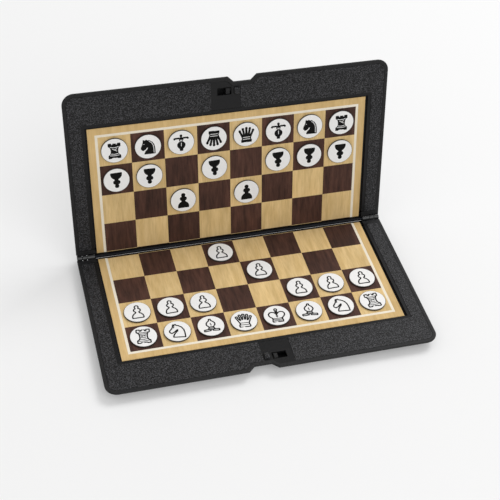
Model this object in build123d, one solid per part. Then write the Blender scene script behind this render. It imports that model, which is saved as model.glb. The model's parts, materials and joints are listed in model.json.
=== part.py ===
from build123d import *
import math
import os

# Printed board and the steel plate under it. The case is sized round the board
square = 16.8
margin_width = 4.4  # tan margin beyond the last square
hinge_line = 1.3  # hinge axis to the line between the fourth and fifth ranks
sliver = 0.3  # the print runs this far past that line
board_thickness = 0.25
board_gap = 1.0  # dark channel around the print
plate_thickness = 0.5
plate_overlap = 1.5  # how far the plate runs under the frame
plate_clearance = 0.25
back_wall = 0.75
back_sill = 1.6  # shell under the plate along the back

# Case half. One moulding serves as base and as lid, turned half a turn about Z
side_bar = 9.9  # channel round the print to the outer wall, at each side
front_bar = 19.1  # the same at the thumb edge
half_height = 6.0  # hinge axis to the underside
corner_radius = 6.0
rim_gap = 0.3  # between the two rims when the case is shut
back_gap = 0.3  # between the two back walls when the case lies flat
side_band = 1.1  # upright part of the outer wall, below the rim
underside_inset = 5.2  # how far the flat underside stands in from the outer wall
band_flat = 0.1  # left of the band between its two rounds
foot_radius = 1.4  # round between the sloped underside and the flat
rim_round = 0.4
floor_thickness = 1.4
back_corner_chamfer = 1.2

# Rim of the shell and the frame let into it
rim_strip = 1.8
frame_gap = 0.15
frame_thickness = 1.4
lip_width = 1.7
lip_step = 0.25
end_block = 4.2  # solid end of each side bar, which carries the knuckles
cavity_wall = 5.2  # outer wall to the hollow under the frame

# Ribs under the plate, and the pegs that hold the frame
rib_thickness = 1.2
cross_ribs = 5
long_ribs = 3
peg_side = 1.7  # the pegs are square
peg_length = 1.8
peg_clearance = 0.05
boss_wall = 0.95
peg_inset = 5.85  # outer wall to the side pegs
side_peg_shares = (0.2, 0.56)  # of the way from the hinge axis to the thumb edge
front_peg_shares = (0.3, 0.75)  # of the way from the case centre to its side
front_peg_line = 11.0  # thumb edge to the front pegs

# Thumb notch and latch in the thumb edge
notch_centre = -6.5
notch_mouth = 14.9
notch_bottom = 8.6
notch_depth = 3.1
patch_left = 5.5  # smooth patch, from the case centre
patch_right = 9.5
patch_step = 0.2
latch_line = 7.6  # thumb edge to the middle of the latch
latch_clearance = 0.3
tab_offset = 3.5  # tab on one side of the centre, its opening on the other
tab_width = 2.6
tab_depth = 3.4
tab_height = 1.2
tab_chamfer = 0.4
tab_play = 1.5  # room in the opening beyond the tab
stop_width = 2.05  # the stop stands in the opening, beside the tab
stop_gap = 0.7
stop_end_gap = 0.45
stop_chamfer = 0.2

# Hinge
rod_radius = 0.9
rod_clearance = 0.05
rod_end_inset = 0.6
rod_sill_clearance = 0.35
knuckle_radius = 1.7
knuckle_clearance = 0.3
knuckle_reach = 9.4  # outer wall to the near end of the inner knuckle
inner_knuckle = 4.0
middle_knuckle = 2.4
knuckle_end_inset = 0.3
web_depth = 3.0
open_angle = 80.0  # lid above the flat-open position

# Magnetic discs
disc_margin = 1.7  # edge of the square to the disc
disc_sides = 48  # flats round the edge, few because the discs repeat
disc_thickness = 1.0
disc_seat_gap = 0.05

same_height = 1e-4  # edges this close in height belong to one outline

standing = (Align.CENTER, Align.CENTER, Align.MIN)
hanging = (Align.CENTER, Align.CENTER, Align.MAX)
files = "abcdefgh"
half_squares = len(files) // 2  # from the middle of the board to its edge
rim_z = -rim_gap / 2
back_y = -back_gap / 2
seat_z = rim_z - frame_thickness
plate_z = seat_z - plate_thickness
board_z = seat_z + board_thickness
floor_z = floor_thickness - half_height
grid_reach = half_squares * square
board_half_width = grid_reach + margin_width
board_back = hinge_line - sliver
board_front = hinge_line + grid_reach + margin_width
window_half_width = board_half_width + board_gap
window_front = board_front + board_gap
case_width = 2 * (window_half_width + side_bar)
case_depth = window_front + front_bar  # hinge axis to the thumb edge
plate_half_width = window_half_width + plate_overlap
plate_front = window_front + plate_overlap
band_z = rim_z - side_band
slope_height = half_height + band_z
lean = math.atan2(underside_inset, slope_height)
stop_right = tab_offset - tab_width / 2 - latch_clearance
latch_y = latch_line - case_depth
latch_reach = tab_depth / 2 + latch_clearance
hinge_y = (case_depth - underside_inset - back_gap / 2) / 2 + back_gap / 2

white_men = {
    "rook": ("a1", "h1"),
    "knight": ("b1", "g1"),
    "bishop": ("c1", "f1"),
    "queen": ("d1",),
    "king": ("e1",),
    "pawn": ("a2", "b2", "c2", "f2", "g2", "h2", "d4", "e3"),
}
black_men = {
    "rook": ("a8", "h8"),
    "knight": ("b8", "g8"),
    "bishop": ("c8", "f8"),
    "queen": ("d8",),
    "king": ("e8",),
    "pawn": ("a7", "b7", "d7", "f7", "g7", "h7", "c6", "e6"),
}


def slab(x0, x1, y0, y1, z0, z1):
    """A box between two corners, in the half's own frame."""
    size = (abs(x1 - x0), abs(y1 - y0), abs(z1 - z0))
    return Pos((x0 + x1) / 2, (y0 + y1) / 2, (z0 + z1) / 2) * Box(*size)


def outline(inset, back):
    """The half's plan, drawn in by inset, from the thumb edge to y = back."""
    front = inset - case_depth
    plan = Rectangle(case_width - 2 * inset, back - front)
    plan = Pos(0, (back + front) / 2) * plan
    corners = plan.vertices().group_by(Axis.Y)[0]
    return fillet(corners, corner_radius - inset)


def prism(plan, top, bottom):
    """A plan pulled down from z = top to z = bottom."""
    return extrude(Pos(0, 0, bottom) * plan, top - bottom)


def thumb_notch(inset):
    """The plan of the notch in the thumb edge, widened all round by inset."""
    edge = -case_depth
    mouth = notch_mouth / 2
    bottom = notch_bottom / 2
    slope = (mouth - bottom) / notch_depth
    spread = mouth + slope * notch_depth
    plan = Polygon(
        (notch_centre - spread, edge - notch_depth),
        (notch_centre + spread, edge - notch_depth),
        (notch_centre + bottom, edge + notch_depth),
        (notch_centre - bottom, edge + notch_depth),
        align=None,
    )
    return offset(plan, inset, kind=Kind.INTERSECTION) if inset else plan


def notched_outline(inset, back):
    """The half's plan with the notch, both drawn in by inset."""
    return outline(inset, back) - thumb_notch(inset)


def notch_cut():
    """The notch as a tool, upright beside the band and spreading under the slope."""
    plan = Pos(0, 0, band_z) * thumb_notch(0)
    below = extrude(plan, slope_height, dir=(0, 0, -1), taper=-math.degrees(lean))
    return below + extrude(plan, side_band + rim_gap)


def back_corner_cuts():
    """The two corners taken off beside the hinge, as tools."""
    flank = math.sqrt(2) * back_corner_chamfer
    turned = Rot(0, 0, 45) * Box(flank, flank, 3 * half_height)
    return [Pos(sign * case_width / 2, back_y, 0) * turned for sign in (-1, 1)]


def outer_body():
    """The outside of the half: upright band, sloped underside, flat foot."""
    overrun = 2 * underside_inset
    taper = math.degrees(lean)
    plan = outline(0, overrun)
    body = prism(plan, rim_z, band_z)
    body += extrude(Pos(0, 0, band_z) * plan, slope_height, dir=(0, 0, -1), taper=taper)
    waist = body.edges().filter_by(lambda e: abs(e.center().Z - band_z) < same_height)
    belly_radius = (side_band - rim_round - band_flat) / math.tan(lean / 2)
    body = fillet(waist, belly_radius)
    foot = body.faces().sort_by(Axis.Z)[0].edges()
    body = fillet(foot, foot_radius) - notch_cut()
    rim = body.faces().sort_by(Axis.Z)[-1].edges()
    body = fillet(rim, rim_round)
    body -= slab(-case_width, case_width, back_y, 2 * overrun, -2 * half_height, half_height)
    return body - back_corner_cuts()


def hollow():
    """What is cut out of the half from above, as one tool."""
    tool = prism(notched_outline(rim_strip, -end_block), half_height, seat_z)
    wide = window_half_width
    sill_z = -rod_radius - rod_sill_clearance
    tool += slab(-wide, wide, -2 * end_block, back_y - back_wall, plate_z, half_height)
    tool += slab(-wide, wide, -2 * end_block, half_height, sill_z, half_height)
    side = plate_half_width + plate_clearance
    front = plate_front + plate_clearance
    tool += slab(-side, side, -front, -end_block, plate_z, seat_z)
    tool += prism(notched_outline(cavity_wall, back_y - back_wall - back_sill), plate_z, floor_z)
    front_space = notched_outline(cavity_wall, -front - rib_thickness)
    return tool + prism(front_space, seat_z, plate_z)


def peg_places():
    """The plan positions of the pegs under the frame."""
    half_width = case_width / 2
    side = half_width - peg_inset
    front = front_peg_line - case_depth
    places = [(sign * side, -share * case_depth) for sign in (-1, 1) for share in side_peg_shares]
    places += [(sign * share * half_width, front) for sign in (-1, 1) for share in front_peg_shares]
    return places


def ribs():
    """The lattice on the floor that holds the plate up."""
    wide = case_width / 2 - cavity_wall
    front = plate_front + plate_clearance
    back = -(back_y - back_wall - back_sill)
    half = rib_thickness / 2
    lattice = slab(-wide, wide, -front - rib_thickness, -front, floor_z, seat_z)
    for n in range(1, long_ribs + 1):
        y = -(back + (front - back) * n / (long_ribs + 1))
        lattice += slab(-wide, wide, y - half, y + half, floor_z, plate_z)
    for n in range(cross_ribs):
        x = wide * (2 * (n + 1) / (cross_ribs + 1) - 1)
        lattice += slab(x - half, x + half, -front, -back, floor_z, plate_z)
    return lattice


def bosses():
    """Square posts that take the frame's pegs."""
    side = peg_side + 2 * (peg_clearance + boss_wall)
    post = Box(side, side, seat_z - floor_z, align=standing)
    return [Pos(x, y, floor_z) * post for x, y in peg_places()]


def sockets():
    """The holes in the posts."""
    depth = peg_length + peg_clearance
    side = peg_side + 2 * peg_clearance
    hole = Box(side, side, depth, align=standing)
    return [Pos(x, y, seat_z - depth) * hole for x, y in peg_places()]


def bar_along_x(radius, x0, x1):
    """A round bar on the hinge axis between two stations."""
    return Pos((x0 + x1) / 2, 0, 0) * Rot(0, 90, 0) * Cylinder(radius, x1 - x0)


def knuckle_edges():
    """Distances from the case centre at which one knuckle gives way to the next."""
    start = case_width / 2 - knuckle_reach
    inner = start + inner_knuckle
    middle = inner + middle_knuckle
    return start, inner, middle, case_width / 2 - knuckle_end_inset


def own_knuckles():
    """Stations of this half's knuckles: two on its left, one on its right."""
    start, inner, middle, side = knuckle_edges()
    gap = knuckle_clearance / 2
    return (-side, -middle - gap), (-inner + gap, -start), (inner + gap, middle - gap)


def partner_knuckles():
    """Stations cleared for the other half's knuckles."""
    start, inner, middle, side = knuckle_edges()
    gap = knuckle_clearance / 2
    outside = case_width
    return (-middle - gap, -inner + gap), (start - gap, inner + gap), (middle - gap, outside)


def knuckle(x0, x1):
    """One barrel on the hinge axis, with the web that joins it to the side bar."""
    barrel = bar_along_x(knuckle_radius, x0, x1)
    return barrel + slab(x0, x1, -web_depth, 0, -knuckle_radius, rim_z)


def half_shell():
    """The outer moulding of one half."""
    shell = outer_body() - hollow()
    shell += ribs()
    shell += bosses()
    shell -= sockets()
    shell += latch_stop()
    for x0, x1 in partner_knuckles():
        shell -= bar_along_x(knuckle_radius + knuckle_clearance, x0, x1)
    for x0, x1 in own_knuckles():
        shell += knuckle(x0, x1)
    return shell - bar_along_x(rod_radius + rod_clearance, -case_width, case_width)


def latch_tab():
    """The tab that stands up from the frame and enters the other half's opening."""
    top = rim_z + tab_height
    tab = Pos(-tab_offset, latch_y, seat_z)
    tab *= Box(tab_width, tab_depth, top - seat_z, align=standing)
    return chamfer(tab.faces().sort_by(Axis.Z)[-1].edges(), tab_chamfer)


def latch_opening():
    """The opening that takes the other half's tab beside this half's stop, as a tool."""
    left = stop_right - stop_width - stop_gap
    right = tab_offset + tab_width / 2 + tab_play
    front = latch_y - latch_reach
    return slab(left, right, front, latch_y + latch_reach, 2 * seat_z, 0)


def latch_stop():
    """The block that rises from the shell through the latch opening."""
    reach = latch_reach - stop_end_gap
    left = stop_right - stop_width
    top = rim_z - patch_step
    stop = slab(left, stop_right, latch_y - reach, latch_y + reach, floor_z, top)
    return chamfer(stop.faces().sort_by(Axis.Z)[-1].edges(), stop_chamfer)


def half_frame():
    """The grained frame around the board, with its pegs and its half of the latch."""
    back = -end_block - frame_gap
    edge = rim_strip + frame_gap
    frame = prism(notched_outline(edge, back), rim_z, seat_z)
    frame -= slab(-window_half_width, window_half_width, -window_front, half_height, 2 * seat_z, 0)
    lip = window_half_width + lip_width
    frame -= slab(-lip, lip, -window_front - lip_width, half_height, rim_z - lip_step, 0)
    frame -= slab(-patch_left, patch_right, -case_depth, -window_front, rim_z - patch_step, 0)
    peg = Box(peg_side, peg_side, peg_length, align=hanging)
    frame += [Pos(x, y, seat_z) * peg for x, y in peg_places()]
    frame += latch_tab()
    return frame - latch_opening()


def half_plate():
    """The steel plate under the print, narrow at the back and held by the frame."""
    back = -end_block - plate_clearance
    plate = slab(-plate_half_width, plate_half_width, -plate_front, back, plate_z, seat_z)
    return plate + slab(-board_half_width, board_half_width, back, -board_back, plate_z, seat_z)


def half_board():
    """The printed sheet of four ranks, stuck to the steel plate."""
    return slab(-board_half_width, board_half_width, -board_front, -board_back, seat_z, board_z)


def hinge_rod():
    """The steel rod through the knuckles of both halves."""
    reach = case_width / 2 - rod_end_inset
    return bar_along_x(rod_radius, -reach, reach)


def disc():
    """One magnetic disc, standing on z = 0."""
    return extrude(RegularPolygon(square / 2 - disc_margin, disc_sides), disc_thickness)


def square_centre(place):
    """A square's centre, with the ranks 5 to 8 laid flat behind the hinge."""
    rank = int(place[1])
    x = (files.index(place[0]) - half_squares) * square + square / 2
    if rank > half_squares:
        return x, hinge_line + (rank - half_squares) * square - square / 2
    return x, (rank - half_squares) * square - square / 2 - hinge_line


in_base = Pos(0, hinge_y, half_height)
in_lid = in_base * Rot(open_angle, 0, 0)
half_turn = Rot(0, 0, 180)


def place_discs(men, colour, where):
    """Each man of one colour on its square, as name and solid."""
    blank = disc()
    level = board_z + disc_seat_gap
    placed = {}
    for man, places in men.items():
        for place in places:
            x, y = square_centre(place)
            placed[f"{colour}_{man}_{place}"] = where * Pos(x, y, level) * blank
    return placed


def build():
    """Every piece in its place, by node name."""
    halves = {
        "shell": half_shell(),
        "frame": half_frame(),
        "plate": half_plate(),
        "board": half_board(),
    }
    nodes = {f"base_{name}": in_base * piece for name, piece in halves.items()}
    nodes |= {f"lid_{name}": in_lid * half_turn * piece for name, piece in halves.items()}
    nodes["hinge_rod"] = in_base * hinge_rod()
    nodes |= place_discs(white_men, "white", in_base)
    nodes |= place_discs(black_men, "black", in_lid)
    return nodes


def solid_of(piece):
    """The one solid of a piece."""
    solids = piece.solids()
    if len(solids) != 1:
        raise ValueError(f"{len(solids)} solids in one piece")
    return solids[0]


os.makedirs("parts", exist_ok=True)
for node, piece in build().items():
    export_step(solid_of(piece), f"parts/{node}.step")
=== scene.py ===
"""Pocket chess set: a folding black case with a wood-print board and printed magnetic discs."""

import json
import logging
import math
import random
from dataclasses import dataclass
from enum import Enum, IntEnum
from typing import Any, Sequence

import bmesh
import bpy
from mathutils import Euler, Matrix, Vector


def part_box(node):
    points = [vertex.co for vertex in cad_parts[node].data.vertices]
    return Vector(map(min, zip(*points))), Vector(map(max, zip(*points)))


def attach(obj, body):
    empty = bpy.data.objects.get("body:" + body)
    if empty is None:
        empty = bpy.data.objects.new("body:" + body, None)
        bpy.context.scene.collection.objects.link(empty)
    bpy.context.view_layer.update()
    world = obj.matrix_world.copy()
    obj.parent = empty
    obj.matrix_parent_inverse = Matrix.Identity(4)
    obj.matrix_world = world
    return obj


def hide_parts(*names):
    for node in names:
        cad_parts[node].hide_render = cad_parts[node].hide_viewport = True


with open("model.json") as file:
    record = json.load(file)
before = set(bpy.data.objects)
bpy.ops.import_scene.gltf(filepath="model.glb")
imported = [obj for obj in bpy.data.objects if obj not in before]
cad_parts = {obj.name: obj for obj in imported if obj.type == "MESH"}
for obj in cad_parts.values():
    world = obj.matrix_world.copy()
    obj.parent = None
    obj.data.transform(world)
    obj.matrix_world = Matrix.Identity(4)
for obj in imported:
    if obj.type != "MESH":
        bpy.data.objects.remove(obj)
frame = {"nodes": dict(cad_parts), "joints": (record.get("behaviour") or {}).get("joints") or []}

MM = 0.001
WHITE = (1.0, 1.0, 1.0)
WELD = 1e-6
FLAT_ANGLE = 0.01
log = logging.getLogger("pocket_chess")

Point = tuple[float, float]
Triple = tuple[float, float, float]
Edges = tuple[float, float, float, float]
Outline = list[Point]
Socket = bpy.types.NodeSocket
Material = bpy.types.Material
Mesh = bpy.types.Mesh
BMesh = bmesh.types.BMesh
Piece = bpy.types.Object


def tone(red: int, green: int, blue: int) -> Triple:
    """A colour as linear light, by the curve of an sRGB display.

    Args:
        red: Display step of red, of 255.
        green: Display step of green.
        blue: Display step of blue.

    Returns:
        The three shares of linear light.
    """
    steps = (red / 255, green / 255, blue / 255)
    return tuple(s / 12.92 if s <= 0.04045 else ((s + 0.055) / 1.055) ** 2.4 for s in steps)


def turns(steps: int) -> list[float]:
    """Angles that share out a full turn, in radians."""
    return [2 * math.pi * n / steps for n in range(steps)]


class Leaf(Enum):
    """The two halves of the case, with the way each runs from the hinge."""

    BASE = -1
    LID = 1

    @property
    def body(self) -> str:
        """Name of the moving body that the half belongs to."""
        return self.name.lower()


@dataclass(frozen=True)
class Hinge:
    """The hinge axis, and how far the lid stands above its flat-open place."""

    axis_point: Vector
    lid_turn: float

    @classmethod
    def from_joints(cls, joints: Sequence[dict]) -> "Hinge":
        """Reads the hinge, in metres and radians, from the joint rows of the frame."""
        row = next(j for j in joints if j["name"] == "lid_hinge")
        return cls(Vector(row["pos_m"]), math.radians(max(row["range_deg"])))

    def turn(self, leaf: Leaf) -> float:
        """Angle of a half above its flat-open place, in radians."""
        return self.lid_turn if leaf is Leaf.LID else 0.0

    def matrix(self, leaf: Leaf) -> Matrix:
        """Takes points of the flat-open set, hinge at the origin, to a half's real place."""
        return Matrix.Translation(self.axis_point) @ Matrix.Rotation(self.turn(leaf), 4, "X")


HINGE = Hinge.from_joints(frame["joints"])


def new_object(name: str, data: Any) -> Piece:
    """Puts an object at the origin of the scene.

    Args:
        name: Its name.
        data: The mesh, lamp or camera that it holds.

    Returns:
        The object.
    """
    made = bpy.data.objects.new(name, data)
    bpy.context.scene.collection.objects.link(made)
    return made


def mesh_from(bm: BMesh, name: str, finishes: Sequence[Material] = ()) -> Mesh:
    """Writes a bmesh out as a mesh and frees it.

    Args:
        bm: The bmesh.
        name: The mesh's name.
        finishes: Its materials by number.

    Returns:
        The mesh.
    """
    mesh = bpy.data.meshes.new(name)
    bm.to_mesh(mesh)
    bm.free()
    for finish in finishes:
        mesh.materials.append(finish)
    return mesh


def absorb(bm: BMesh, mesh: Mesh) -> None:
    """Adds a mesh to a bmesh and deletes the mesh."""
    bm.from_mesh(mesh)
    bpy.data.meshes.remove(mesh)


def rounded_plate(low: Vector, high: Vector, round_width: float, segments: int = 2) -> BMesh:
    """A flat plate whose top edges are rounded.

    Args:
        low: Its lowest corner.
        high: Its highest corner.
        round_width: Width of the round.
        segments: Steps across the round.

    Returns:
        The plate as a bmesh.
    """
    bm = bmesh.new()
    size = high - low
    place = Matrix.Translation((low + high) / 2) @ Matrix.Diagonal((*size, 1.0))
    bmesh.ops.create_cube(bm, size=1.0, matrix=place)
    middle = (low.z + high.z) / 2
    top = [e for e in bm.edges if all(v.co.z > middle for v in e.verts)]
    bmesh.ops.bevel(bm, geom=top, offset=round_width, segments=segments, affect="EDGES", profile=0.5)
    return bm


def turned(section: Sequence[tuple[float, float, int]], steps: int, ring: bool = False) -> BMesh:
    """A shape turned about Z.

    Args:
        section: Radius, height and material number at each step of its outline.
        steps: Faces round a full turn.
        ring: Whether the outline ends where it starts, clear of the axis.

    Returns:
        The shape as a bmesh.
    """
    bm = bmesh.new()
    rows = []
    for radius, height, _ in section:
        angles = turns(steps if radius else 1)
        rows.append([bm.verts.new((radius * math.cos(t), radius * math.sin(t), height)) for t in angles])
    following = rows[1:] + rows[:1] if ring else rows[1:]
    finishes = [finish for _, _, finish in section[1:] + section[:1]]
    for first, second, finish in zip(rows, following, finishes):
        for n in range(steps):
            picks = ((first, n), (first, n + 1), (second, n + 1), (second, n))
            corners = dict.fromkeys(row[k % len(row)] for row, k in picks)
            bm.faces.new(tuple(corners)).material_index = finish
    bmesh.ops.recalc_face_normals(bm, faces=bm.faces)
    return bm


class Graph:
    """A tree of nodes in the making."""

    def __init__(self, tree: bpy.types.NodeTree) -> None:
        """Starts on a tree, emptied of its nodes."""
        self.tree = tree
        tree.nodes.clear()

    def node(self, kind: str, inputs: dict | None = None, **settings: Any) -> bpy.types.Node:
        """Adds a node.

        Args:
            kind: Blender's type name of the node.
            inputs: Sockets or plain values by the name or number of its inputs.
            **settings: Properties to set on it first.

        Returns:
            The new node.
        """
        made = self.tree.nodes.new(kind)
        for key, value in settings.items():
            setattr(made, key, value)
        for key, value in (inputs or {}).items():
            self.feed(made.inputs[key], value)
        return made

    def value(self, kind: str, inputs: dict | None = None, **settings: Any) -> Socket:
        """The first output of a node that is added as by node()."""
        return self.node(kind, inputs, **settings).outputs[0]

    def feed(self, target: Socket, value: Any) -> None:
        """Links an input, or sets it.

        Args:
            target: The input.
            value: A socket to link, or a number, vector, colour, name or material.
        """
        if isinstance(value, bpy.types.NodeSocket):
            self.tree.links.new(value, target)
        elif target.type == "RGBA" and len(value) == 3:
            target.default_value = (*value, 1.0)
        else:
            target.default_value = value

    def math(self, operation: str, *values: Any) -> Socket:
        """The result of a Math node, from the operation's name and its inputs in order."""
        return self.value("ShaderNodeMath", dict(enumerate(values)), operation=operation)

    def span(self, value: Any, source: Point, target: Point = (0.0, 1.0)) -> Socket:
        """Maps a value to another range and keeps it inside.

        Args:
            value: The socket to map.
            source: Its range.
            target: The new range.

        Returns:
            The output socket.
        """
        ends = zip(("From Min", "From Max", "To Min", "To Max"), (*source, *target))
        return self.value("ShaderNodeMapRange", {"Value": value, **dict(ends)})


class Shader(Graph):
    """A material in the making: one Principled surface and the nodes that feed it."""

    def __init__(self, name: str) -> None:
        """Starts an empty material.

        Args:
            name: The material's name.
        """
        self.material = bpy.data.materials.new(name)
        self.material.use_nodes = True
        super().__init__(self.material.node_tree)
        self.surface = self.node("ShaderNodeBsdfPrincipled")
        self.node("ShaderNodeOutputMaterial", {"Surface": self.surface.outputs[0]})

    def set(self, **values: Any) -> None:
        """Sets inputs of the surface, named with underscores for spaces."""
        for key, value in values.items():
            self.feed(self.surface.inputs[key.replace("_", " ")], value)

    def mix(self, factor: Any, first: Any, second: Any) -> Socket:
        """A colour between two others.

        Args:
            factor: Share of the second.
            first: The colour at 0.
            second: The colour at 1.

        Returns:
            The output socket.
        """
        # The colour sockets share their names with others, so they go by number.
        made = self.node("ShaderNodeMix", {"Factor": factor, 6: first, 7: second}, data_type="RGBA")
        return made.outputs[2]

    def own_points(self) -> Socket:
        """Object coordinates, in metres."""
        return self.node("ShaderNodeTexCoord").outputs["Object"]

    def leaf_points(self, leaf: Leaf) -> Socket:
        """Object coordinates turned to the flat-open set, hinge at the origin.

        Args:
            leaf: The half that the material is for.

        Returns:
            The output socket, in metres.
        """
        place = {"Location": HINGE.axis_point, "Rotation": (HINGE.turn(leaf), 0.0, 0.0)}
        inputs = {"Vector": self.own_points(), **place}
        return self.value("ShaderNodeMapping", inputs, vector_type="TEXTURE")

    def stretch(self, points: Any, scale: Triple) -> Socket:
        """Scales a pattern's coordinates along each axis."""
        return self.value("ShaderNodeMapping", {"Vector": points, "Scale": scale})

    def noise(self, points: Any, scale: float, detail: float, rough: float) -> Socket:
        """A noise field.

        Args:
            points: Coordinates.
            scale: Cells per metre.
            detail: Octaves.
            rough: Strength of the finer octaves.

        Returns:
            The field's value socket.
        """
        inputs = {"Vector": points, "Scale": scale, "Detail": detail, "Roughness": rough}
        return self.value("ShaderNodeTexNoise", inputs)

    def cells(self, points: Any, scale: float) -> Socket:
        """Distance to the nearest of many scattered points, so many to the metre."""
        return self.value("ShaderNodeTexVoronoi", {"Vector": points, "Scale": scale})

    def bump(self, height: Any, depth: float, strength: float) -> None:
        """Roughens the surface by a height field.

        Args:
            height: The field, 0 to 1.
            depth: Its full height in metres.
            strength: Share of the effect.
        """
        inputs = {"Distance": depth, "Strength": strength, "Height": height}
        self.set(Normal=self.value("ShaderNodeBump", inputs))


@dataclass(frozen=True)
class GrainedPlastic:
    """Black moulded plastic with a stipple as fine or as faint as its part of the mould, its raised
    grains painted lighter as painted highlights.
    """

    kind: str
    # dark is the plastic's own black; light is a painted highlight on the raised grains.
    dark: Triple
    light: Triple
    grain_depth: float
    roughness: Point
    specular: float
    grain_per_m: float = 1900.0
    grain_range: Point = (0.44, 0.68)
    pits_per_grain: float = 1.3
    pit_glint_range: Point = (0.1, 0.5)
    pits_share: float = 0.5
    cloud_per_m: float = 60.0
    cloud_range: Point = (0.2, 0.8)
    bite: float = 0.9

    def make(self, leaf: Leaf) -> Material:
        """Builds the material for one half.

        Args:
            leaf: The half, in whose flat-open place the stipple is laid out.

        Returns:
            The material.
        """
        shader = Shader(f"{leaf.body}_{self.kind}")
        points = shader.leaf_points(leaf)
        grain = shader.noise(points, self.grain_per_m, detail=2.0, rough=0.55)
        pits = shader.cells(points, self.grain_per_m * self.pits_per_grain)
        cloud = shader.noise(points, self.cloud_per_m, detail=4.0, rough=0.6)
        # Painted highlight: the higher parts of the stipple's height field are painted lighter.
        light = shader.span(grain, self.grain_range), shader.span(pits, self.pit_glint_range)
        shader.set(
            Base_Color=shader.mix(shader.math("MULTIPLY", *light), self.dark, self.light),
            Roughness=shader.span(cloud, self.cloud_range, self.roughness),
            Specular_IOR_Level=self.specular,
        )
        height = shader.math("ADD", grain, shader.math("MULTIPLY", pits, self.pits_share))
        shader.bump(height, self.grain_depth, self.bite)
        return shader.material


# The frame's stipple carries strong painted highlights; polish, satin and gloss carry faint ones.
GRAIN_WITH_GLINTS = GrainedPlastic("grain", tone(12, 12, 13), tone(82, 82, 85), 0.14 * MM, (0.4, 0.48), 0.22)
POLISH = GrainedPlastic("polish", tone(25, 25, 26), tone(31, 31, 32), 0.01 * MM, (0.3, 0.36), 0.18)
SATIN = GrainedPlastic("satin", tone(24, 24, 25), tone(40, 40, 41), 0.04 * MM, (0.46, 0.54), 0.25)
GLOSS = GrainedPlastic("gloss", tone(20, 20, 21), tone(26, 26, 27), 0.005 * MM, (0.18, 0.24), 0.6)


@dataclass(frozen=True)
class Fibre:
    """One size of figure in a wood, drawn out along the files."""

    per_m: float
    drawn: float
    detail: float
    rough: float

    def field(self, shader: Shader, points: Socket) -> Socket:
        """The figure as a noise field on a shader's coordinates."""
        drawn = shader.stretch(points, (1.0, self.drawn, self.drawn))
        return shader.noise(drawn, self.per_m, self.detail, self.rough)


@dataclass(frozen=True)
class WoodPrint:
    """Printed wood on the sheet, its grain along the files, new on every square."""

    name: str
    pale: Triple
    deep: Triple
    streak: Triple
    streak_share: float
    tone_swing: float
    flame_glow: Point = (0.94, 1.06)
    flow: Fibre = Fibre(420.0, 0.16, 4.0, 0.62)
    fine: Fibre = Fibre(2400.0, 0.05, 3.0, 0.6)
    flame: Fibre = Fibre(170.0, 0.22, 3.0, 0.5)
    deep_range: Point = (0.32, 0.7)
    streak_range: Point = (0.5, 0.72)
    wide_range: Point = (0.3, 0.7)
    roughness: Point = (0.5, 0.62)
    specular: float = 0.2
    relief: float = 0.012 * MM
    bite: float = 0.5

    def make(self) -> Material:
        """Builds the material.

        Returns:
            The material.
        """
        shader = Shader(self.name)
        shift = shader.node("ShaderNodeAttribute", attribute_name="grain_shift").outputs["Vector"]
        own_tone = shader.node("ShaderNodeAttribute", attribute_name="own_tone").outputs["Fac"]
        both = {0: shader.own_points(), 1: shift}
        points = shader.value("ShaderNodeVectorMath", both, operation="ADD")
        flow, fine, flame = (f.field(shader, points) for f in (self.flow, self.fine, self.flame))
        base = shader.mix(shader.span(flow, self.deep_range), self.pale, self.deep)
        share = shader.math("MULTIPLY", shader.span(fine, self.streak_range), self.streak_share)
        lined = shader.mix(share, base, self.streak)
        lift = shader.span(own_tone, (0.0, 1.0), (1.0 - self.tone_swing, 1.0 + self.tone_swing))
        glow = shader.math("MULTIPLY", lift, shader.span(flame, self.wide_range, self.flame_glow))
        shader.set(
            Base_Color=shader.value("ShaderNodeVectorMath", {0: lined, "Scale": glow}, operation="SCALE"),
            Roughness=shader.span(flow, self.wide_range, self.roughness),
            Specular_IOR_Level=self.specular,
        )
        shader.bump(fine, self.relief, self.bite)
        return shader.material


@dataclass(frozen=True)
class MottledFinish:
    """A plain finish that wanders a little in colour and gloss, for print, foil and metal."""

    name: str
    first: Triple
    second: Triple
    cells_per_m: float = 90.0
    fine_per_cell: float = 12.0
    wide_range: Point = (0.3, 0.7)
    roughness: Point = (0.35, 0.5)
    specular: float = 0.3
    metallic: float = 0.0
    stretch: Triple = (1.0, 1.0, 1.0)
    relief: float = 0.01 * MM
    bite: float = 0.6

    def make(self) -> Material:
        """Builds the material.

        Returns:
            The material.
        """
        shader = Shader(self.name)
        points = shader.stretch(shader.own_points(), self.stretch)
        cloud = shader.noise(points, self.cells_per_m, detail=4.0, rough=0.6)
        fine = shader.noise(points, self.cells_per_m * self.fine_per_cell, detail=2.0, rough=0.5)
        shader.set(
            Base_Color=shader.mix(shader.span(cloud, self.wide_range), self.first, self.second),
            Roughness=shader.span(fine, self.wide_range, self.roughness),
            Metallic=self.metallic,
            Specular_IOR_Level=self.specular,
        )
        shader.bump(fine, self.relief, self.bite)
        return shader.material


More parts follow.
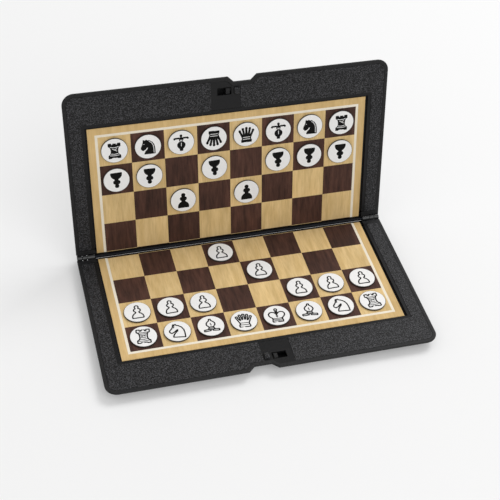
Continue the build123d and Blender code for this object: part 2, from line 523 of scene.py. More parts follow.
class Tree(Graph):
    """A Geometry Nodes tree in the making."""

    def __init__(
        self, name: str, lengths: Sequence[str], materials: Sequence[str], counts: Sequence[str] = ()
    ) -> None:
        """Starts a tree that takes and returns a geometry.

        Args:
            name: The tree's name.
            lengths: Names of its inputs for lengths.
            materials: Names of its inputs for materials.
            counts: Names of its inputs for whole numbers.
        """
        super().__init__(bpy.data.node_groups.new(name, "GeometryNodeTree"))
        kinds = {"Geometry": ("Geometry",), "Float": lengths, "Int": counts, "Material": materials}
        sockets = self.tree.interface
        for kind, names in kinds.items():
            for label in names:
                sockets.new_socket(label, in_out="INPUT", socket_type=f"NodeSocket{kind}")
        sockets.new_socket("Geometry", in_out="OUTPUT", socket_type="NodeSocketGeometry")
        self.source = self.node("NodeGroupInput").outputs
        self.end = self.node("NodeGroupOutput").inputs[0]

    def vector(self, *values: Any) -> Socket:
        """A vector from three values."""
        return self.value("ShaderNodeCombineXYZ", dict(enumerate(values)))

    def noted(self, geometry: Socket, kind: str, name: str, value: Any) -> Socket:
        """Notes a value on each instance.

        Args:
            geometry: The instances.
            kind: Blender's name for the kind of value.
            name: The name that it is noted under.
            value: The value.

        Returns:
            The instances with their notes.
        """
        inputs = {"Geometry": geometry, "Name": name, "Value": value}
        return self.value("GeometryNodeStoreNamedAttribute", inputs, data_type=kind, domain="INSTANCE")

    def finish(self, geometry: Socket, paints: Sequence[tuple[Socket, Any]]) -> None:
        """Ends the tree in Realize Instances and Set Material.

        Args:
            geometry: What the tree has made.
            paints: Each material's socket, and the faces that it is for.
        """
        result = self.value("GeometryNodeRealizeInstances", {0: geometry})
        for material, faces in paints:
            inputs = {"Geometry": result, "Selection": faces, "Material": material}
            result = self.value("GeometryNodeSetMaterial", inputs)
        self.feed(self.end, result)

    def run(self, mesh: Mesh, values: dict[str, Any], name: str) -> Mesh:
        """Runs the tree on a mesh, which is used up, and keeps the result as a plain mesh.

        Args:
            mesh: The input mesh.
            values: The named inputs.
            name: The result's name.

        Returns:
            The new mesh.
        """
        carrier = new_object(name, mesh)
        step = carrier.modifiers.new(name, "NODES")
        step.node_group = self.tree
        for item in self.tree.interface.items_tree:
            if item.in_out == "INPUT" and item.name in values:
                step[item.identifier] = values[item.name]
        graph = bpy.context.evaluated_depsgraph_get()
        made = bpy.data.meshes.new_from_object(carrier.evaluated_get(graph), depsgraph=graph)
        made.name = name
        carrier.modifiers.remove(step)
        bpy.data.objects.remove(carrier)
        bpy.data.meshes.remove(mesh)
        return made


def stroke_tree(corner_steps: int = 3) -> Tree:
    """Flat ribbons of ink along the edges of the input mesh.

    Args:
        corner_steps: Steps round each corner.

    Returns:
        The tree.
    """
    tree = Tree("ink_strokes", lengths=("Width", "Thickness", "Corner"), materials=("Ink",))
    path = tree.value("GeometryNodeMeshToCurve", {"Mesh": tree.source["Geometry"]})
    corner = {"Radius": tree.source["Corner"], "Count": corner_steps, "Limit Radius": True}
    rounded = tree.value("GeometryNodeFilletCurve", {"Curve": path, **corner}, mode="POLY")
    level = tree.value("GeometryNodeSetCurveNormal", {"Curve": rounded}, mode="Z_UP")
    sizes = {"Width": tree.source["Width"], "Height": tree.source["Thickness"]}
    section = tree.value("GeometryNodeCurvePrimitiveQuadrilateral", sizes)
    sweep = {"Curve": level, "Profile Curve": section, "Fill Caps": True}
    tree.finish(tree.value("GeometryNodeCurveToMesh", sweep), [(tree.source["Ink"], True)])
    return tree


def chequer_tree(seeds_apart: float = 7.0) -> Tree:
    """Squares set out in ranks and files, in two woods by turns, each with its own grain.

    Args:
        seeds_apart: Step from the seed of the squares' tones to that of their grain.

    Returns:
        The tree.
    """
    tree = Tree(
        "chequer",
        lengths=("Square", "Thickness", "Start X", "Start Y"),
        counts=("Files", "Ranks", "First", "Seed"),
        materials=("Dark Wood", "Light Wood"),
    )
    source, side = tree.source, tree.source["Square"]
    index = tree.value("GeometryNodeInputIndex")
    column = tree.math("FLOORED_MODULO", index, source["Files"])
    row = tree.math("FLOOR", tree.math("DIVIDE", index, source["Files"]))
    across = tree.math("MULTIPLY_ADD", tree.math("ADD", column, 0.5), side, source["Start X"])
    along = tree.math("MULTIPLY_ADD", tree.math("ADD", row, 0.5), side, source["Start Y"])
    total = tree.math("MULTIPLY", source["Files"], source["Ranks"])
    spots = {"Count": total, "Position": tree.vector(across, along, 0.0)}
    points = tree.value("GeometryNodePoints", spots)
    parity = tree.math("ADD", tree.math("ADD", column, row), source["First"])
    light = tree.math("FLOORED_MODULO", parity, 2.0)
    tile = tree.value("GeometryNodeMeshCube", {"Size": tree.vector(side, side, source["Thickness"])})
    join = tree.node("GeometryNodeJoinGeometry")
    for dark, chosen in ((False, light), (True, tree.math("SUBTRACT", 1.0, light))):
        inputs = {"Points": points, "Selection": chosen, "Instance": tile}
        spread = tree.value("GeometryNodeInstanceOnPoints", inputs)
        tree.feed(join.inputs[0], tree.noted(spread, "BOOLEAN", "is_dark", dark))
    # A draw's outputs share one name, and the second is the plain number.
    draw = tree.node("FunctionNodeRandomValue", {"Seed": source["Seed"]}, data_type="FLOAT")
    toned = tree.noted(join.outputs[0], "FLOAT", "own_tone", draw.outputs[1])
    seed = {"Seed": tree.math("ADD", source["Seed"], seeds_apart)}
    jump = tree.value("FunctionNodeRandomValue", seed, data_type="FLOAT_VECTOR")
    shifted = tree.noted(toned, "FLOAT_VECTOR", "grain_shift", jump)
    noted = {"Name": "is_dark"}
    on_dark = tree.value("GeometryNodeInputNamedAttribute", noted, data_type="BOOLEAN")
    tree.finish(shifted, [(source["Light Wood"], True), (source["Dark Wood"], on_dark)])
    return tree


@dataclass
class Board:
    """The printed sheet of one half: tan margin, chequered squares and an off-white line."""

    leaf: Leaf
    margin_finish: Material
    light_wood: Material
    dark_wood: Material
    line_finish: Material
    chequer: Tree
    margin: float = 4.4 * MM
    hinge_line: float = 1.3 * MM
    ink: float = 0.02 * MM
    line_rise: float = 0.4
    line_overlap: float = 0.6 * MM
    line_width: float = 1.35 * MM
    round_most: float = 0.06 * MM
    round_share: float = 0.8
    files: int = 8
    ranks: int = 4
    seed: int = 11

    def __post_init__(self) -> None:
        """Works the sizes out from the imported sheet."""
        low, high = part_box("base_board")
        hinge = HINGE.axis_point
        self.half_width = high.x
        self.near = hinge.y - high.y
        self.far = hinge.y - low.y
        self.low = low.z - hinge.z
        self.top = high.z - hinge.z
        self.square = (2 * self.half_width - 2 * self.margin) / self.files
        self.grid_half = self.square * self.files / 2
        self.grid_far = self.hinge_line + self.square * self.ranks

    def set_down(self, name: str, mesh: Mesh) -> Piece:
        """Makes a piece from a mesh of the flat-open set, in the half's real place."""
        mesh.transform(HINGE.matrix(self.leaf))
        return new_object(f"{self.leaf.body}_{name}", mesh)

    def plates(
        self, name: str, runs: Sequence[tuple[Edges, int]], heights: Point, finishes: list[Material]
    ) -> Piece:
        """Thin rounded plates in one piece.

        Args:
            name: The piece's name after the half's.
            runs: Each plate's left, right, near and far edge, and its material number.
            heights: Their underside and top.
            finishes: The materials by number.

        Returns:
            The piece.
        """
        bm = bmesh.new()
        low, high = heights
        edge_round = min(high - low, self.round_most) * self.round_share
        for (left, right, near, far), number in runs:
            front, back = sorted((near * self.leaf.value, far * self.leaf.value))
            plate = rounded_plate(Vector((left, front, low)), Vector((right, back, high)), edge_round)
            for face in plate.faces:
                face.material_index = number
            absorb(bm, mesh_from(plate, name))
        return self.set_down(name, mesh_from(bm, name, finishes))

    def make_sheet(self) -> Piece:
        """The sheet itself, in the tan of its margin.

        Returns:
            The piece.
        """
        edges = (-self.half_width, self.half_width, self.near, self.far)
        heights = (self.low, self.top - self.ink)
        piece = self.plates("sheet", [(edges, 0)], heights, [self.margin_finish])
        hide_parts(f"{self.leaf.body}_board")
        return piece

    def make_squares(self) -> Piece:
        """The light and dark squares.

        Returns:
            The piece.
        """
        values = {
            "Square": self.square,
            "Thickness": 2 * self.ink,
            "Start X": -self.grid_half,
            "Start Y": self.hinge_line if self.leaf is Leaf.LID else -self.grid_far,
            "Files": self.files,
            "Ranks": self.ranks,
            "First": 0,
            "Seed": self.seed + self.leaf.value,
            "Dark Wood": self.dark_wood,
            "Light Wood": self.light_wood,
        }
        mesh = self.chequer.run(bpy.data.meshes.new("squares"), values, "squares")
        mesh.transform(Matrix.Translation((0.0, 0.0, self.top - self.ink)))
        return self.set_down("squares", mesh)

    def make_slivers(self) -> Piece:
        """The narrow ends of the next squares, which the print runs on to past the hinge line.

        Returns:
            The piece.
        """
        runs = []
        for column in range(self.files):
            left = -self.grid_half + column * self.square
            edges = (left, left + self.square, self.near, self.hinge_line)
            runs.append((edges, (column + (self.leaf is Leaf.BASE)) % 2))
        heights = (self.top - 2 * self.ink, self.top)
        return self.plates("slivers", runs, heights, [self.light_wood, self.dark_wood])

    def make_line(self) -> Piece:
        """The off-white line round three sides of the grid.

        Returns:
            The piece.
        """
        inner = self.grid_half - self.line_overlap
        outer = inner + self.line_width
        far_in = self.grid_far - self.line_overlap
        far_out = far_in + self.line_width
        sides = ((-outer, -inner, self.near, far_in), (inner, outer, self.near, far_in))
        runs = [(edges, 0) for edges in (*sides, (-outer, outer, far_in, far_out))]
        heights = (self.top - self.ink, self.top + self.line_rise * self.ink)
        return self.plates("line", runs, heights, [self.line_finish])

    def build(self) -> None:
        """Makes the sheet's pieces and fixes them to their half."""
        for piece in (self.make_sheet(), self.make_squares(), self.make_slivers(), self.make_line()):
            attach(piece, self.leaf.body)
            log.info("made %s", piece.name)


def mirrored(right_side: Outline) -> Outline:
    """A closed outline from its right half, whose points on the middle line have x = 0."""
    return right_side + [(-x, y) for x, y in reversed(right_side) if x > 0.0]


def pair(path: Outline) -> tuple[Outline, Outline]:
    """A path and its mirror image in the sign's upright middle line."""
    return path, [(-x, y) for x, y in path]


def band(half_width: float, y: float, middle: float | None = None) -> Outline:
    """A line across the sign at a height, level or bent in the middle to another height."""
    return [(-half_width, y), *([] if middle is None else [(0.0, middle)]), (half_width, y)]


def round_path(centre: Point, radius: Point, steps: int = 14) -> Outline:
    """A closed ellipse."""
    (x, y), (wide, high) = centre, radius
    return [(x + wide * math.cos(t), y + high * math.sin(t)) for t in turns(steps)]


@dataclass(frozen=True)
class Figure:
    """The printed sign of one kind of man, its paths in heights of the sign.

    heights are the sign's heights in millimetres on a white man and on a black one. solids are
    filled on a black man, whose pale_lines are white and whose arms are thick black strokes.
    outlines, or the solids where there are none, are drawn on a white man with the thinner
    inner_lines.
    """

    heights: Point
    solids: tuple[Outline, ...]
    outlines: tuple[Outline, ...] = ()
    pale_lines: tuple[Outline, ...] = ()
    inner_lines: tuple[Outline, ...] = ()
    arms: tuple[Outline, ...] = ()


# fmt: off
PAWN = Figure(
    heights=(8.4, 8.5),
    solids=(mirrored([
        (0.0, 0.5), (0.08, 0.47), (0.115, 0.4), (0.1, 0.32), (0.075, 0.26), (0.17, 0.22), (0.205, 0.13),
        (0.175, 0.04), (0.09, -0.02), (0.12, -0.09), (0.22, -0.16), (0.3, -0.27), (0.33, -0.38),
        (0.33, -0.5),
    ]),),
)
ROOK = Figure(
    heights=(8.8, 8.3),
    solids=(mirrored([
        (0.0, 0.48), (0.09, 0.48), (0.1, 0.4), (0.18, 0.4), (0.19, 0.5), (0.365, 0.5), (0.365, 0.31),
        (0.27, 0.25), (0.23, 0.16), (0.205, 0.0), (0.215, -0.14), (0.27, -0.25), (0.36, -0.31),
        (0.365, -0.5), (0.19, -0.5), (0.17, -0.46), (0.0, -0.46),
    ]),),
    pale_lines=(
        [(-0.26, 0.27), (-0.08, 0.22), (0.1, 0.22), (0.26, 0.28)],
        [(-0.13, 0.14), (0.15, -0.03)],
        [(0.15, 0.14), (0.02, 0.08)],
        band(0.22, -0.19, -0.23),
        band(0.28, -0.3, -0.33),
    ),
    inner_lines=(
        band(0.3, 0.3, 0.26),
        band(0.23, 0.19, 0.16),
        [(-0.16, 0.1), (0.14, -0.02)],
        [(0.16, 0.1), (-0.14, -0.03)],
        [(-0.15, -0.08), (0.12, -0.13)],
        band(0.25, -0.2, -0.24),
        band(0.32, -0.33, -0.36),
    ),
)
KNIGHT = Figure(
    heights=(9.1, 8.2),
    solids=([
        (-0.28, 0.5), (-0.19, 0.43), (-0.08, 0.48), (-0.02, 0.42), (0.1, 0.42), (0.26, 0.3), (0.38, 0.1),
        (0.42, -0.14), (0.42, -0.5), (-0.25, -0.48), (-0.18, -0.31), (-0.03, -0.16), (0.01, -0.01),
        (-0.08, -0.05), (-0.19, -0.18), (-0.33, -0.23), (-0.44, -0.11), (-0.41, 0.03), (-0.33, 0.19),
        (-0.29, 0.37),
    ],),
    outlines=([
        (-0.21, 0.5), (-0.16, 0.42), (-0.09, 0.49), (-0.04, 0.41), (0.07, 0.38), (0.23, 0.27),
        (0.34, 0.1), (0.39, -0.12), (0.41, -0.46), (-0.24, -0.44), (-0.2, -0.29), (-0.1, -0.13),
        (0.01, 0.0), (0.045, 0.14), (-0.06, 0.03), (-0.2, -0.11), (-0.32, -0.17), (-0.42, -0.08),
        (-0.42, 0.02), (-0.33, 0.13), (-0.25, 0.27), (-0.23, 0.4),
    ],),
    pale_lines=(
        [(0.08, 0.36), (0.22, 0.26), (0.32, 0.07), (0.345, -0.15), (0.345, -0.45)],
        [(-0.27, 0.19), (-0.22, 0.2)],
    ),
    inner_lines=([(-0.155, 0.42), (-0.19, 0.2)],),
)
BISHOP = Figure(
    heights=(8.8, 9.1),
    solids=(mirrored([
        (0.0, 0.5), (0.08, 0.49), (0.085, 0.37), (0.16, 0.3), (0.215, 0.2), (0.215, 0.09), (0.15, -0.01),
        (0.07, -0.06), (0.09, -0.13), (0.12, -0.19), (0.05, -0.27),
    ]),),
    outlines=(
        mirrored([
            (0.0, 0.5), (0.055, 0.48), (0.055, 0.41), (0.07, 0.37), (0.17, 0.29), (0.24, 0.18),
            (0.24, 0.06), (0.17, -0.04), (0.12, -0.1),
        ]),
        [(-0.12, -0.1), (0.12, -0.1), (0.19, -0.28), (-0.19, -0.28)],
        *pair([
            (-0.06, -0.29), (-0.2, -0.27), (-0.43, -0.3), (-0.43, -0.41), (-0.2, -0.39), (-0.06, -0.37),
        ]),
    ),
    pale_lines=(
        [(0.0, 0.22), (0.0, 0.0)],
        *pair([(-0.06, -0.09), (0.06, -0.17)]),
    ),
    inner_lines=([(0.01, 0.21), (-0.03, 0.12), (0.03, 0.07), (0.0, 0.0)], band(0.14, -0.19)),
    arms=(
        *pair([(0.0, -0.22), (-0.12, -0.28), (-0.36, -0.28), (-0.4, -0.2)]),
        [(0.0, -0.2), (0.0, -0.5)],
        band(0.07, -0.42),
    ),
)
QUEEN = Figure(
    heights=(8.6, 8.5),
    solids=(mirrored([
        (0.0, 0.5), (0.055, 0.48), (0.065, 0.41), (0.05, 0.35), (0.055, 0.1), (0.095, 0.04),
        (0.155, 0.34), (0.15, 0.41), (0.2, 0.46), (0.265, 0.44), (0.275, 0.37), (0.25, 0.32),
        (0.195, 0.04), (0.225, 0.0), (0.345, 0.22), (0.345, 0.29), (0.4, 0.335), (0.465, 0.3),
        (0.465, 0.23), (0.43, 0.18), (0.3, -0.12), (0.265, -0.22), (0.27, -0.3), (0.31, -0.36),
        (0.31, -0.5), (0.0, -0.5),
    ]),),
    pale_lines=(band(0.22, -0.17), band(0.22, -0.3)),
    inner_lines=(band(0.26, -0.19), band(0.28, -0.34)),
)
KING = Figure(
    heights=(8.9, 8.9),
    solids=(
        mirrored([
            (0.0, 0.03), (0.05, 0.13), (0.13, 0.22), (0.26, 0.26), (0.38, 0.22), (0.45, 0.12),
            (0.45, 0.01), (0.39, -0.1), (0.29, -0.2), (0.27, -0.3), (0.3, -0.38), (0.29, -0.5),
            (0.0, -0.5),
        ]),
        round_path((0.0, 0.42), (0.075, 0.08)),
        [(-0.04, 0.34), (0.04, 0.34), (0.04, 0.13), (0.0, 0.05), (-0.04, 0.13)],
    ),
    inner_lines=(
        [(0.0, 0.04), (0.045, -0.07), (0.0, -0.18), (-0.045, -0.07), (0.0, 0.04)],
        band(0.27, -0.22, -0.25),
        band(0.27, -0.31, -0.34),
        band(0.25, -0.41),
    ),
)
FIGURES = {
    "pawn": PAWN, "rook": ROOK, "knight": KNIGHT, "bishop": BISHOP, "queen": QUEEN, "king": KING,
}
# fmt: on


class Side(Enum):
    """The two players."""

    WHITE = "white"
    BLACK = "black"


class Coat(IntEnum):
    """A disc's materials, by their numbers in its mesh."""

    PLATE = 0
    FOIL = 1
    INK = 2
    PALE_INK = 3


@dataclass
class DiscSet:
    """The magnetic discs: a white printed plate on dark magnetic foil, with the man's sign."""

    finishes: tuple[Material, Material, Material, Material]
    strokes: Tree
    thickness: float = 1.0 * MM
    foil: float = 0.78 * MM
    # The face is set in from the foil's edge so a dark foil ring shows round each disc: partly the foil,
    # partly painted shade for the shadow line round it.
    foil_shade_ledge: float = 0.18 * MM
    edge_round: float = 0.12 * MM
    round_step: float = 0.3
    sides: int = 96
    stroke: float = 0.68 * MM
    inner_stroke: float = 0.42 * MM
    spread: float = 0.28 * MM
    arm: float = 0.95 * MM
    pale_stroke: float = 0.34 * MM
    pale_lift: float = 0.6
    corner: float = 0.18 * MM
    ink: float = 0.024 * MM
    lid_from_rank: int = 5
    turned_rank: int = 7
    turned: tuple[str, ...] = ("bishop_c8", "bishop_f8", "queen_d8")
    crowned: tuple[str, ...] = ("king_e8",)
    tilts: tuple[tuple[str, float], ...] = (
        ("a1", -3.5), ("b1", -7.0), ("d1", -4.0), ("e1", -3.0), ("f1", -5.0), ("g1", -3.0),
    )  # fmt: skip
    sway: float = 1.5
    seed: int = 5

    def profile(self, radius: float) -> list[tuple[float, float, int]]:
        """The disc's section from the middle of the foil to the middle of the face.

        Args:
            radius: The disc's radius.

        Returns:
            Radius, height and material number at each step.
        """
        r, t, f, c = radius, self.thickness, self.foil, self.edge_round
        # The face's radius falls short of the foil by the ledge, leaving a dark foil ring as partly
        # painted shade.
        face, step = r - self.foil_shade_ledge, self.round_step * self.edge_round
        foil = [(0.0, 0.0), (r - c, 0.0), (r, c), (r, f), (face, f)]
        plate = [(face, t - c), (face - step, t - step), (face - c, t), (0.0, t)]
        return [(*p, Coat.FOIL) for p in foil] + [(*p, Coat.PLATE) for p in plate]

    def filled(self, outlines: Sequence[Outline], height: float) -> Mesh:
        """Thin flat plates of ink in the given outlines.

        Args:
            outlines: The closed outlines, in heights of the sign.
            height: The sign's height in metres.

        Returns:
            The plates as a mesh.
        """
        bm = bmesh.new()
        for outline in outlines:
            face = bm.faces.new([bm.verts.new((x * height, y * height, 0.0)) for x, y in outline])
            if face.normal.z < 0:
                face.normal_flip()
            top = bmesh.ops.extrude_face_region(bm, geom=[face])
            moved = [g for g in top["geom"] if isinstance(g, bmesh.types.BMVert)]
            bmesh.ops.translate(bm, verts=moved, vec=(0.0, 0.0, self.ink))
        bmesh.ops.triangulate(bm, faces=[f for f in bm.faces if len(f.verts) > 4])
        bmesh.ops.recalc_face_normals(bm, faces=bm.faces)
        return mesh_from(bm, "fills")

    def stroked(
        self, paths: Sequence[Outline], height: float, width: float, closed: bool = False
    ) -> Mesh:
        """Ribbons of ink along paths.

        Args:
            paths: The paths, in heights of the sign.
            height: The sign's height in metres.
            width: The ribbon's width.
            closed: Whether each path ends where it starts.

        Returns:
            The ribbons as a mesh.
        """
        bm = bmesh.new()
        for path in paths:
            verts = [bm.verts.new((x * height, y * height, 0.0)) for x, y in path]
            for ends in zip(verts, verts[1:] + verts[:1] if closed else verts[1:]):
                bm.edges.new(ends)
        sizes = {"Width": width, "Thickness": 2 * self.ink, "Corner": self.corner}
        values = {**sizes, "Ink": self.finishes[Coat.INK]}
        return self.strokes.run(mesh_from(bm, "paths"), values, "strokes")

    def layers(self, side: Side, figure: Figure) -> list[tuple[Mesh, Coat, float]]:
        """The sign in layers: an outline on a white man, and filled with white lines on a black one.

        Args:
            side: Whose man it is.
            figure: Its kind.

        Returns:
            Each layer's mesh, material and lift above the face.
        """
        if side is Side.WHITE:
            height, rims = figure.heights[0] * MM, figure.outlines or figure.solids
            return [
                (self.stroked(rims, height, self.stroke, closed=True), Coat.INK, 0.0),
                (self.stroked(figure.inner_lines, height, self.inner_stroke), Coat.INK, 0.0),
            ]
        height, lift = figure.heights[1] * MM, self.pale_lift * self.ink
        return [
            (self.filled(figure.solids, height), Coat.INK, 0.0),
            (self.stroked(figure.solids, height, self.spread, closed=True), Coat.INK, 0.0),
            (self.stroked(figure.arms, height, self.arm), Coat.INK, 0.0),
            (self.stroked(figure.pale_lines, height, self.pale_stroke), Coat.PALE_INK, lift),
        ]

    def sign(self, side: Side, figure: Figure) -> BMesh:
        """The man's sign on z = 0.

        Args:
            side: Whose man it is.
            figure: Its kind.

        Returns:
            The sign as a bmesh.
        """
        bm = bmesh.new()
        for mesh, coat, lift in self.layers(side, figure):
            for polygon in mesh.polygons:
                polygon.material_index = coat
            mesh.transform(Matrix.Translation((0.0, 0.0, lift)))
            absorb(bm, mesh)
        return bm

    def place_of(self, node: str, leaf: Leaf) -> tuple[Matrix, float]:
        """Where a disc lies, and its radius.

        Args:
            node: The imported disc.
            leaf: The half that it lies on.

        Returns:
            The matrix that takes a disc from z = 0 there, and the radius in metres.
        """
        low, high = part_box(node)
        flat = HINGE.matrix(leaf).inverted() @ ((low + high) / 2)
        foot = Matrix.Translation(flat - Vector((0.0, 0.0, self.thickness / 2)))
        return HINGE.matrix(leaf) @ foot, (high.x - low.x) / 2

    def make_disc(self, node: str, tilt: float) -> Piece:
        """One disc with its sign, in its real place.

        Args:
            node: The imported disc, named after its colour, man and square.
            tilt: Turn of the sign off the file, in degrees.

        Returns:
            The piece.
        """
        colour, man, square = node.split("_")
        side, rank, name = Side(colour), int(square[1]), f"{man}_{square}"
        leaf = Leaf.LID if rank >= self.lid_from_rank else Leaf.BASE
        matrix, radius = self.place_of(node, leaf)
        bm = self.sign(side, FIGURES["queen" if name in self.crowned else man])
        upside_down = side is Side.BLACK and (name in self.turned or rank == self.turned_rank)
        spin = Matrix.Rotation(math.radians(tilt + 180.0 * upside_down), 4, "Z")
        bm.transform(Matrix.Translation((0.0, 0.0, self.thickness)) @ spin)
        absorb(bm, mesh_from(turned(self.profile(radius), self.sides), "blank"))
        bm.transform(matrix)
        return new_object(f"{node}_disc", mesh_from(bm, name, self.finishes))

    def build(self, nodes: Sequence[str]) -> None:
        """Makes every disc and sets it on its own body.

        Args:
            nodes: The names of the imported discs.
        """
        draw = random.Random(self.seed)
        tilts = dict(self.tilts)
        for node in sorted(nodes):
            # Every disc takes its draw, so that a tilt of one leaves the others as they are.
            drawn = draw.uniform(-self.sway, self.sway)
            piece = self.make_disc(node, tilts.get(node[-2:], drawn))
            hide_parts(node)
            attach(piece, node)
            log.info("made %s", piece.name)


@dataclass
class Case:
    """The black mouldings, the steel plates and the hinge rod."""

    plate_finish_and_shade: Material
    rod_finish_and_shade: Material
    edge_round: float = 0.13 * MM
    round_segments: int = 2
    edge_turn: float = math.radians(40.0)
    mark_place: Point = (76.2 * MM, 88.0 * MM)
    mark_radius: float = 1.55 * MM
    mark_width: float = 0.3 * MM
    mark_height: float = 0.06 * MM
    mark_steps: int = 48
    face_drop: float = 0.15 * MM
    polish_drop: float = 0.12 * MM
    knuckle_zone: float = 2.1 * MM

    def dress(self, node: str, finish: Material) -> None:
        """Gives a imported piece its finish.

        Args:
            node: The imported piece.
            finish: Its material.
        """
        mesh = frame["nodes"][node].data
        mesh.materials.clear()
        mesh.materials.append(finish)
        log.info("dressed %s", node)

    def merged(self, node: str) -> BMesh:
        """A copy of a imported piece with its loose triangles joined.

        Args:
            node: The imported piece.

        Returns:
            The copy in world coordinates.
        """
        source = frame["nodes"][node]
        bm = bmesh.new()
        bm.from_mesh(source.data)
        bm.transform(source.matrix_world)
        bmesh.ops.remove_doubles(bm, verts=bm.verts, dist=WELD)
        bmesh.ops.dissolve_limit(bm, angle_limit=FLAT_ANGLE, verts=bm.verts, edges=bm.edges)
        return bm

    def swap(self, bm: BMesh, node: str, leaf: Leaf, finishes: Sequence[Material]) -> None:
        """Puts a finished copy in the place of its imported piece.

        Args:
            bm: The copy, which is used up.
            node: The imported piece.
            leaf: The half that it belongs to.
            finishes: Its materials by number.
        """
        piece = new_object(f"{node}_moulding", mesh_from(bm, node, finishes))
        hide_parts(node)
        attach(piece, leaf.body)
        log.info("made %s", piece.name)

    def make_frame(self, leaf: Leaf, finishes: Sequence[Material]) -> None:
        """The frame with its sharp edges rounded.

        Args:
            leaf: The half.
            finishes: The grain of its face, and the polish of its lip, patch and walls.
        """
        node = f"{leaf.body}_frame"
        bm = self.merged(node)
        sharp = [e for e in bm.edges if e.is_manifold and e.calc_face_angle() > self.edge_turn]
        bmesh.ops.bevel(
            bm, geom=sharp, offset=self.edge_round, segments=self.round_segments, profile=0.5,
            affect="EDGES", clamp_overlap=True, loop_slide=True,
        )  # fmt: skip
        flat = HINGE.matrix(leaf).inverted()
        grained_above = -self.face_drop - self.polish_drop
        for face in bm.faces:
            face.material_index = int((flat @ face.calc_center_median()).z < grained_above)
        self.swap(bm, node, leaf, finishes)

    def make_shell(self, leaf: Leaf, finishes: Sequence[Material]) -> None:
        """The shell with smooth, glossy knuckles.

        Args:
            leaf: The half.
            finishes: The satin of the shell, and the gloss of its knuckles.
        """
        node = f"{leaf.body}_shell"
        bm = self.merged(node)
        flat = HINGE.matrix(leaf).inverted()
        for face in bm.faces:
            centre = flat @ face.calc_center_median()
            face.smooth = math.hypot(centre.y, centre.z) < self.knuckle_zone
            face.material_index = int(face.smooth)
        for edge in bm.edges:
            edge.smooth = edge.is_manifold and edge.calc_face_angle() < self.edge_turn
        self.swap(bm, node, leaf, finishes)

    def make_mark(self, leaf: Leaf, finish: Material) -> None:
        """The small raised ring that an ejector pin left near the frame's outer corner.

        Args:
            leaf: The half.
            finish: The frame's material.
        """
        half, slope, rise = self.mark_width / 2, self.mark_width / 4, self.mark_height / 2
        inner, outer = self.mark_radius - half, self.mark_radius + half
        low, high = -self.face_drop - rise, -self.face_drop + rise
        section = [(inner, low, 0), (outer, low, 0), (outer - slope, high, 0), (inner + slope, high, 0)]
        bm = turned(section, self.mark_steps, ring=True)
        x, y = (-leaf.value * self.mark_place[0], leaf.value * self.mark_place[1])
        bm.transform(HINGE.matrix(leaf) @ Matrix.Translation((x, y, 0.0)))
        piece = new_object(f"{leaf.body}_ejector_mark", mesh_from(bm, "mark", [finish]))
        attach(piece, leaf.body)
        log.info("made %s", piece.name)

    def build(self) -> None:
        """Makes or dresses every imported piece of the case."""
        for leaf in Leaf:
            grain = GRAIN_WITH_GLINTS.make(leaf)
            self.make_frame(leaf, (grain, POLISH.make(leaf)))
            self.make_mark(leaf, grain)
            self.make_shell(leaf, (SATIN.make(leaf), GLOSS.make(leaf)))
            self.dress(f"{leaf.body}_plate", self.plate_finish_and_shade)
        self.dress("hinge_rod", self.rod_finish_and_shade)


@dataclass(frozen=True)
class Lamp:
    """A square soft lamp."""

    name: str
    place: Triple
    size: float
    watts: float

    def hang(self, aim: Triple) -> None:
        """Hangs the lamp.

        Args:
            aim: The point that it looks at, in metres.
        """
        data = bpy.data.lights.new(self.name, "AREA")
        data.size = self.size
        data.energy = self.watts
        lamp = new_object(self.name, data)
        lamp.location = self.place
        to_aim = Vector(aim) - Vector(self.place)
        lamp.rotation_euler = to_aim.to_track_quat("-Z", "Y").to_euler()


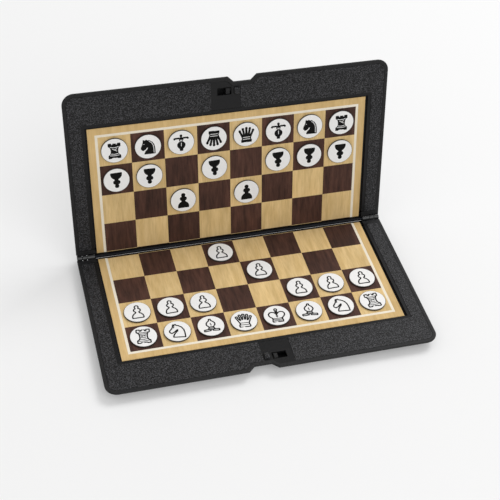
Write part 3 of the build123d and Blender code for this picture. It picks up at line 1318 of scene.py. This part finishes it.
@dataclass
class Studio:
    """A pale floor and backdrop, soft lamps and the camera."""

    floor_size: float = 24.0
    floor_tone: Triple = (0.88, 0.88, 0.88)
    glow: float = 0.97
    sky: float = 0.61
    glow_share: float = 0.2
    lamps: tuple[Lamp, ...] = (
        Lamp("key", (1.1, 0.6, 1.6), 0.9, 17.0),
        Lamp("front", (0.6, -1.6, 1.6), 1.6, 12.0),
    )
    aim: Triple = (0.0, 0.0, 0.03)
    lens: float = 85.026
    sensor: float = 36.0
    sees_from: float = 0.01
    camera_place: Triple = (-0.1238, -0.4016, 0.4304)
    camera_turn: Triple = (46.828, -2.471, -14.475)

    def floor_paper(self) -> Material:
        """The floor's finish: lit paper that the camera sees a little brighter than it is.

        Returns:
            The material.
        """
        material = bpy.data.materials.new("studio_floor")
        material.use_nodes = True
        graph = Graph(material.node_tree)
        paper = graph.value("ShaderNodeBsdfDiffuse", {"Color": self.floor_tone})
        shine = graph.value("ShaderNodeEmission", {"Color": WHITE, "Strength": self.glow})
        rays = graph.node("ShaderNodeLightPath").outputs
        seen = graph.math("MAXIMUM", rays["Is Camera Ray"], rays["Is Glossy Ray"])
        share = graph.math("MULTIPLY", seen, self.glow_share)
        mix = graph.value("ShaderNodeMixShader", {0: share, 1: paper, 2: shine})
        graph.node("ShaderNodeOutputMaterial", {"Surface": mix})
        return material

    def make_floor(self) -> None:
        """A wide floor under the object."""
        bm = bmesh.new()
        bmesh.ops.create_grid(bm, x_segments=1, y_segments=1, size=self.floor_size / 2)
        new_object("studio_floor", mesh_from(bm, "floor", [self.floor_paper()]))

    def make_world(self) -> None:
        """A pale sky that lights the object softly and is seen as the background."""
        world = bpy.data.worlds.new("studio")
        bpy.context.scene.world = world
        world.use_nodes = True
        graph = Graph(world.node_tree)
        seen = graph.node("ShaderNodeLightPath").outputs["Is Camera Ray"]
        strength = graph.span(seen, (0.0, 1.0), (self.sky, self.glow))
        sky = graph.value("ShaderNodeBackground", {"Color": WHITE, "Strength": strength})
        graph.node("ShaderNodeOutputWorld", {"Surface": sky})

    def make_camera(self) -> None:
        """The camera at the photograph's angle."""
        data = bpy.data.cameras.new("camera")
        data.lens = self.lens
        data.sensor_width = self.sensor
        data.clip_start = self.sees_from
        camera = new_object("camera", data)
        camera.location = self.camera_place
        camera.rotation_euler = Euler([math.radians(a) for a in self.camera_turn], "XYZ")
        bpy.context.scene.camera = camera

    def build(self) -> None:
        """Sets the studio up."""
        bpy.context.scene.view_settings.view_transform = "Standard"
        self.make_floor()
        self.make_world()
        for lamp in self.lamps:
            lamp.hang(self.aim)
        self.make_camera()


# Near-black plate: partly its dark steel, partly painted shade, so the gaps round the boards read as
# shade.
SHEET_STEEL_AND_SHADE = MottledFinish(
    "sheet_steel", (0.01, 0.01, 0.011), (0.018, 0.018, 0.02), roughness=(0.6, 0.7), specular=0.1
)
# Near-black rod: partly blackened steel, partly painted shade of the hinge gap between the boards.
ROD_STEEL_AND_SHADE = MottledFinish(
    "rod_steel", (0.01, 0.011, 0.014), (0.02, 0.022, 0.027), metallic=1.0,
    stretch=(0.08, 1.0, 1.0), cells_per_m=900.0, roughness=(0.45, 0.55),
)  # fmt: skip
LIGHT_WOOD = WoodPrint(
    "light_wood", tone(231, 201, 146), tone(210, 178, 120), tone(186, 152, 96),
    streak_share=0.45, tone_swing=0.05, flame_glow=(0.9, 1.07),
)  # fmt: skip
DARK_WOOD = WoodPrint(
    "dark_wood", tone(88, 58, 48), tone(56, 37, 31), tone(42, 27, 22),
    streak_share=0.6, tone_swing=0.12, flame_glow=(0.78, 1.2),
)  # fmt: skip
MARGIN_WOOD = WoodPrint(
    "margin_wood", tone(222, 190, 134), tone(204, 171, 114), tone(184, 150, 96),
    streak_share=0.3, tone_swing=0.0,
)  # fmt: skip
LINE_INK = MottledFinish("line_ink", tone(243, 235, 218), tone(236, 226, 205))
DISC_FINISHES = (
    MottledFinish("disc_plate", tone(245, 244, 242), tone(240, 240, 240)),
    MottledFinish("magnet_foil", (0.03, 0.028, 0.026), (0.05, 0.046, 0.042)),
    MottledFinish(
        "black_ink", (0.003, 0.003, 0.003), (0.007, 0.007, 0.007), roughness=(0.55, 0.7), specular=0.1
    ),
    MottledFinish("pale_ink", tone(240, 240, 240), tone(228, 228, 228)),
)


def main() -> None:
    """Builds the chess set piece by piece and reports each."""
    logging.basicConfig(level=logging.INFO, format="%(message)s")
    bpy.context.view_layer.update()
    Studio().build()
    Case(SHEET_STEEL_AND_SHADE.make(), ROD_STEEL_AND_SHADE.make()).build()
    woods = (MARGIN_WOOD.make(), LIGHT_WOOD.make(), DARK_WOOD.make())
    line, chequer = LINE_INK.make(), chequer_tree()
    for leaf in Leaf:
        Board(leaf, *woods, line, chequer).build()
    discs = [n for n in frame["nodes"] if n.startswith(("white_", "black_"))]
    DiscSet(tuple(finish.make() for finish in DISC_FINISHES), stroke_tree()).build(discs)
    bpy.context.view_layer.update()


if __name__ == "__main__":
    main()
